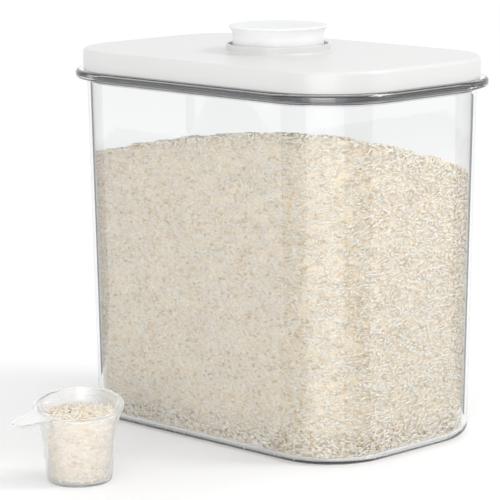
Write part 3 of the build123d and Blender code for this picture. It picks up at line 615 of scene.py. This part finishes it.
def cup_rice(wall_count=3000, top_count=1000):
    """Grains along the cup's wall, and grains that lie on top."""
    turn = rng.uniform(0, 2 * pi, wall_count)
    out = np.column_stack([np.cos(turn), np.sin(turn)])
    z = CUP_FLOOR + FLOOR_GAP + rng.random(wall_count) * (CUP_LEVEL - CUP_FLOOR - CUP_TOP_GAP)
    depth = AIR_GAP + GRAIN_STANDOFF + rng.random(wall_count) * CUP_LAYER
    along = leaning(out, spread=radians(38), lift=0.05)
    walls = np.column_stack([out * (cup_radius(z) - depth - CUP_WALL_GAP)[:, None], z])
    around = rng.uniform(0, 2 * pi, top_count)
    far = np.sqrt(rng.random(top_count)) * (cup_radius(CUP_LEVEL) - CUP_HEAP_EDGE)
    heap = CUP_LEVEL + CUP_HEAP - CUP_HEAP_FALL * (far / cup_radius(CUP_LEVEL)) ** 2
    heap -= rng.random(top_count) * CUP_TOP_LAYER
    top = np.column_stack([far * np.cos(around), far * np.sin(around), heap])
    yaw = rng.uniform(0, 2 * pi, top_count)
    lying = np.column_stack([np.cos(yaw), np.sin(yaw), rng.normal(0, CUP_GRAIN_TILT, top_count)])
    centres = np.concatenate([walls, top]) + (CUP_X, CUP_Y, 0)
    sideways = np.column_stack([out, np.zeros(wall_count)])
    upward = np.tile((0.0, 0.0, 1.0), (top_count, 1))
    outward = np.concatenate([sideways, upward])
    finish_rice(make_grains("cup_rice", centres, np.concatenate([along, lying]), outward), "cup")


cup_core = filled_core(
    "cup_rice_core", cup_core_outline, CUP_FLOOR + CORE_FOOT,
    lambda x, y: CUP_LEVEL - CUP_CORE_TOP, levels=4, rings=4, step=(CUP_X, CUP_Y, 0))
cup_core.data.materials.append(packed_rice)
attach(cup_core, "cup")
cup_rice()


# Studio
# A white paper floor that keeps the shadows and a faint reflection, in a bright even room.
# A soft lamp at the right throws the shadows to the left, and black flags out of view give
# the clear walls their dark edges and the near corner its two bands.

ACROSS = Vector((cos(VIEW_TURN), sin(VIEW_TURN), 0))
TOWARDS = Vector((sin(VIEW_TURN), -cos(VIEW_TURN), 0))
FLOOR_REACH, FLOOR_DROP = 6.0, 0.05 * MM
FLOOR_GLOW, FAR_GLOW, GLOW_NEAR, GLOW_FAR = 0.17, 0.25, 0.35, 1.5
FLOOR_GLOSS, ROOM_LIGHT = 0.05, 0.87


def stage_sheet(name, corners, material):
    """A flat sheet of the studio, which isn't part of the object."""
    mesh = bpy.data.meshes.new(name)
    mesh.from_pydata(corners, [], [tuple(range(len(corners)))])
    mesh.materials.append(material)
    sheet = bpy.data.objects.new(name, mesh)
    bpy.context.scene.collection.objects.link(sheet)
    return sheet


paper, tree = new_material("paper, coated white")
path = add(tree, "ShaderNodeLightPath")
matt = add(tree, "ShaderNodeBsdfDiffuse", {"Color": linear("#EDEDED")})
sheen = add(tree, "ShaderNodeBsdfGlossy", {"Color": linear("#FFFFFF"), "Roughness": 0.12})
coated = add(tree, "ShaderNodeMixShader", {
    0: FLOOR_GLOSS, 1: matt.outputs["BSDF"], 2: sheen.outputs["BSDF"]})
place = add(tree, "ShaderNodeTexCoord")
far = add(tree, "ShaderNodeVectorMath", {0: place.outputs["Object"]}, operation="LENGTH")
lift = add(tree, "ShaderNodeMapRange", {
    "Value": far.outputs["Value"], "From Min": GLOW_NEAR, "From Max": GLOW_FAR,
    "To Min": FLOOR_GLOW, "To Max": FAR_GLOW})
unseen = add(tree, "ShaderNodeMath", {
    0: 1.0, 1: path.outputs["Is Diffuse Ray"]}, operation="SUBTRACT")
lit = add(tree, "ShaderNodeMath", {
    0: lift.outputs["Result"], 1: unseen.outputs[0]}, operation="MULTIPLY")
glow = add(tree, "ShaderNodeEmission", {"Color": linear("#FFFFFF"), "Strength": lit.outputs[0]})
both = add(tree, "ShaderNodeAddShader", {0: coated.outputs["Shader"], 1: glow.outputs["Emission"]})
add(tree, "ShaderNodeOutputMaterial", {"Surface": both.outputs["Shader"]})
floor_corners = [
    (x * FLOOR_REACH, y * FLOOR_REACH, -FLOOR_DROP) for x, y in ((-1, -1), (1, -1), (1, 1), (-1, 1))]
stage_sheet("paper_floor", floor_corners, paper)

velvet, tree = new_material("velvet, black")
cloth = add(tree, "ShaderNodeBsdfDiffuse", {"Color": linear("#0C0C0C")})
add(tree, "ShaderNodeOutputMaterial", {"Surface": cloth.outputs["BSDF"]})


def black_flag(name, corners, in_glass):
    """A black card, which shows only in reflections or only through clear walls."""
    flag = stage_sheet(name, corners, velvet)
    flag.visible_camera = False
    flag.visible_diffuse = False
    flag.visible_shadow = False
    flag.visible_transmission = in_glass
    flag.visible_glossy = not in_glass


# Each corner flag stands between two turns, in degrees from the way towards the camera.
FLAG_NEAR, FLAG_DISTANCE, FLAG_HEIGHT, FLAG_LIFT = 0.056, 0.4, 0.6, 0.1 * MM
near_corner = Vector((CORNER_X, -CORNER_Y, 0))
for name, low, high in (("flag_left", -73, -35), ("flag_right", 16, 56)):
    ends = [TOWARDS * cos(radians(turn)) + ACROSS * sin(radians(turn)) for turn in (low, high)]
    low_near, high_near = [near_corner + end * FLAG_NEAR + UP * FLAG_LIFT for end in ends]
    low_far, high_far = [near_corner + end * FLAG_DISTANCE + UP * FLAG_LIFT for end in ends]
    black_flag(f"{name}_foot", [low_near, high_near, high_far, low_far], in_glass=False)
    rise = UP * FLAG_HEIGHT
    black_flag(name, [low_far, high_far, high_far + rise, low_far + rise], in_glass=False)

SIDE_FLAG_REACH, SIDE_FLAG_TOP = 0.45, 0.222
for name, side, behind, inner in (("side_flag_left", -1, 0.12, 0.187), ("side_flag_right", 1, 0.0, 0.156)):
    near_end = ACROSS * side * inner - TOWARDS * behind
    far_end = ACROSS * side * SIDE_FLAG_REACH - TOWARDS * behind
    rise = UP * SIDE_FLAG_TOP
    black_flag(name, [near_end, far_end, far_end + rise, near_end + rise], in_glass=True)

# Painted shadow: a black sheet under the box, seen only through its walls, darkens the floor there as the
# box's shadow would.
SHADE_INSET, SHADE_SIDES = 9 * MM, 48
shade_radius = inner_radius(np.array(BOX_FLOOR + INNER_FOOT)) - SHADE_INSET
shaded, _ = wall_places(np.arange(SHADE_SIDES) / SHADE_SIDES, np.full(SHADE_SIDES, shade_radius))
black_flag("shade_under_box", [Vector((x, y, -0.5 * FLOOR_DROP)) for x, y in shaded], in_glass=True)

world = bpy.data.worlds.new("studio_room")
bpy.context.scene.world = world
world.use_nodes = True
tree = world.node_tree
tree.nodes.clear()
path = add(tree, "ShaderNodeLightPath")
level = add(tree, "ShaderNodeMapRange", {
    "Value": path.outputs["Diffuse Depth"], "To Min": 1.0, "To Max": ROOM_LIGHT})
room = add(tree, "ShaderNodeBackground", {"Color": linear("#FFFFFF"), "Strength": level.outputs["Result"]})
add(tree, "ShaderNodeOutputWorld", {"Surface": room.outputs["Background"]})


def soft_lamp(name, place, size, power):
    """A square soft lamp, aimed at the object."""
    lamp = bpy.data.lights.new(name, "AREA")
    lamp.size = size
    lamp.energy = power
    holder = bpy.data.objects.new(name, lamp)
    bpy.context.scene.collection.objects.link(holder)
    holder.location = place
    holder.rotation_euler = (UP * BOX_HEIGHT / 2 - place).to_track_quat("-Z", "Y").to_euler()


soft_lamp("key_lamp", ACROSS * 1.15 + TOWARDS * 0.25 + UP * 1.3, size=0.5, power=7.5)
soft_lamp("fill_lamp", ACROSS * -0.4 + TOWARDS * 2.0 + UP * 0.45, size=1.2, power=13.5)


# Camera
# A long lens a little above the lid, looking at the near corner.
# Its place and lens were found from the edges of the box in the picture.

VIEW_RISE, VIEW_ROLL = radians(10.05), radians(0.36)
VIEW_DISTANCE, AIM_ACROSS, AIM_HEIGHT = 1784 * MM, -19.7 * MM, 118.9 * MM
LENS_PIXELS, IMAGE_PIXELS, SENSOR_MM, VIEW_LIMIT = 2639, 500, 36, 50
camera = bpy.data.objects.new("camera", bpy.data.cameras.new("camera"))
bpy.context.scene.collection.objects.link(camera)
camera.data.sensor_width = SENSOR_MM
camera.data.lens = SENSOR_MM * LENS_PIXELS / IMAGE_PIXELS
camera.data.clip_end = VIEW_LIMIT
back = TOWARDS * cos(VIEW_RISE) + Vector((0, 0, sin(VIEW_RISE)))
up = back.cross(ACROSS)
right = ACROSS * cos(VIEW_ROLL) - up * sin(VIEW_ROLL)
up = up * cos(VIEW_ROLL) + ACROSS * sin(VIEW_ROLL)
turn = Matrix((right, up, back)).transposed().to_4x4()
stand = Vector((0, 0, AIM_HEIGHT)) + ACROSS * AIM_ACROSS + back * VIEW_DISTANCE
camera.matrix_world = Matrix.Translation(stand) @ turn
bpy.context.scene.camera = camera
bpy.context.scene.view_settings.view_transform = "Standard"
